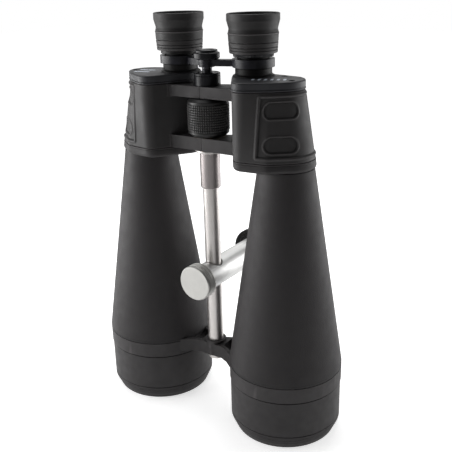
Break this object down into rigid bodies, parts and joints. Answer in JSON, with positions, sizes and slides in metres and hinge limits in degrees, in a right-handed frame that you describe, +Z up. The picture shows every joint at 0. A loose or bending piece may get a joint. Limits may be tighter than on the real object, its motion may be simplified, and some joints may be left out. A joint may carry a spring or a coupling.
{
  "type": "astronomy binoculars",
  "caption": "Large straight-tube Porro prism binoculars with folding halves, centre focusing and a sliding tripod post on a rod between the tubes.",
  "frame": {"origin": "where the central hinge axis meets the plane of the two objective rims", "axes": "+Z up the hinge axis towards the eyepieces, +X towards the right tube, +Y towards the tripod foot side"},
  "size_m": [0.2388, 0.1127, 0.3524],
  "materials": {
    "matte_black_casting": "matte fine-textured black paint",
    "armour_rubber": "matte moulded rubber",
    "barrel_coating": "matte pebbled black coating",
    "gloss_black": "gloss black enamel",
    "satin_black": "satin black paint",
    "black_steel": "blackened steel",
    "satin_aluminium": "satin turned aluminium",
    "wheel_rubber": "fine square knurl",
    "eyecup_rubber": "soft matte rubber",
    "foot_rubber": "matte grooved rubber",
    "black_nylon": "matte black nylon",
    "brass": "turned brass",
    "spring_steel": "bright spring steel",
    "lens_glass": "coated optical glass",
    "prism_glass": "clear optical glass"
  },
  "bodies": {
    "spine": {"hinge_axle": "black_steel", "top_collar": "gloss_black", "rod_flange": "satin_aluminium", "rod_sleeve": "satin_aluminium", "support_rod": "satin_aluminium", "rod_end_nut": "satin_aluminium"},
    "right_half": {"prism_housing_right": "matte_black_casting", "housing_armour_right": "armour_rubber", "cover_plate_right": "matte_black_casting", "cover_screws_right": "black_steel", "base_plate_right": "matte_black_casting", "eyepiece_guide_right": "gloss_black", "objective_barrel_right": "barrel_coating", "objective_brace_right": "matte_black_casting", "objective_cell_right": "matte_black_casting", "crown_lens_right": "lens_glass", "flint_lens_right": "lens_glass", "lens_retainer_right": "matte_black_casting", "objective_prism_right": "prism_glass", "eyepiece_prism_right": "prism_glass", "prism_clips_right": "spring_steel"},
    "left_half": {"prism_housing_left": "matte_black_casting", "housing_armour_left": "armour_rubber", "cover_plate_left": "matte_black_casting", "cover_screws_left": "black_steel", "base_plate_left": "matte_black_casting", "eyepiece_guide_left": "gloss_black", "objective_barrel_left": "barrel_coating", "objective_brace_left": "matte_black_casting", "objective_cell_left": "matte_black_casting", "crown_lens_left": "lens_glass", "flint_lens_left": "lens_glass", "lens_retainer_left": "matte_black_casting", "objective_prism_left": "prism_glass", "eyepiece_prism_left": "prism_glass", "prism_clips_left": "spring_steel"},
    "focus_wheel": {"focus_wheel": "wheel_rubber", "wheel_core": "brass"},
    "focus_bridge": {"focus_spindle": "black_steel", "spindle_key": "brass", "bridge_cap": "gloss_black"},
    "right_arm": {"bridge_arm_right": "gloss_black", "eyepiece_tube_right": "satin_black"},
    "right_ocular": {"ocular_tube_right": "satin_black", "field_lens_right": "lens_glass", "eye_lens_right": "lens_glass"},
    "dioptre_head": {"dioptre_ring": "gloss_black", "eyecup_right": "eyecup_rubber"},
    "left_arm": {"bridge_arm_left": "gloss_black", "eyepiece_tube_left": "satin_black", "ocular_tube_left": "satin_black", "field_lens_left": "lens_glass", "eye_lens_left": "lens_glass", "eyecup_left": "eyecup_rubber"},
    "post_bush": {"post_bush": "black_nylon"},
    "tripod_post": {"tripod_post": "satin_aluminium", "foot_disc": "foot_rubber", "tripod_insert": "brass"},
    "pressure_pad": {"pressure_pad": "black_steel"},
    "clamp_knob": {"clamp_knob": "satin_aluminium"}
  },
  "joints": [
    {"name": "right_fold", "type": "hinge", "parent": "spine", "child": "right_half", "pos_m": [0, 0, 0], "axis": [0, 0, 1], "range_deg": [0, 25]},
    {"name": "left_fold", "type": "hinge", "parent": "spine", "child": "left_half", "pos_m": [0, 0, 0], "axis": [0, 0, 1], "range_deg": [-25, 0]},
    {"name": "focus_travel", "type": "slide", "parent": "spine", "child": "focus_bridge", "axis": [0, 0, 1], "range_m": [-0.004, 0.004]},
    {"name": "focus_turn", "type": "hinge", "parent": "spine", "child": "focus_wheel", "pos_m": [0, 0, 0.27], "axis": [0, 0, 1], "range_deg": [-120, 120]},
    {"name": "right_arm_fold", "type": "hinge", "parent": "focus_bridge", "child": "right_arm", "pos_m": [0, 0, 0.314], "axis": [0, 0, 1], "range_deg": [0, 25]},
    {"name": "left_arm_fold", "type": "hinge", "parent": "focus_bridge", "child": "left_arm", "pos_m": [0, 0, 0.314], "axis": [0, 0, 1], "range_deg": [-25, 0]},
    {"name": "dioptre_travel", "type": "slide", "parent": "right_arm", "child": "right_ocular", "axis": [0, 0, 1], "range_m": [-0.001, 0.001]},
    {"name": "dioptre_turn", "type": "hinge", "parent": "right_ocular", "child": "dioptre_head", "pos_m": [0.0368, 0.0124, 0.32], "axis": [0, 0, 1], "range_deg": [-100, 100]},
    {"name": "post_slide", "type": "slide", "parent": "spine", "child": "post_bush", "axis": [0, 0, 1], "range_m": [-0.024, 0.066]},
    {"name": "post_swivel", "type": "hinge", "parent": "post_bush", "child": "tripod_post", "pos_m": [0, 0, 0.1297], "axis": [0, 0, 1], "range_deg": [-5, 5]},
    {"name": "clamp_travel", "type": "slide", "parent": "tripod_post", "child": "pressure_pad", "axis": [0, -1, 0], "range_m": [0, 0.0015]},
    {"name": "clamp_turn", "type": "hinge", "parent": "pressure_pad", "child": "clamp_knob", "pos_m": [0, -0.02, 0.1297], "axis": [0, -1, 0], "range_deg": [0, 540]}
  ],
  "couplings": [
    {"joint": "left_fold", "follows": "right_fold", "ratio": -1},
    {"joint": "right_arm_fold", "follows": "right_fold", "ratio": 1},
    {"joint": "left_arm_fold", "follows": "right_fold", "ratio": -1},
    {"joint": "focus_turn", "follows": "focus_travel", "rad_per_m": 523.6},
    {"joint": "dioptre_turn", "follows": "dioptre_travel", "rad_per_m": 1745.3},
    {"joint": "clamp_turn", "follows": "clamp_travel", "rad_per_m": 6283.2}
  ]
}
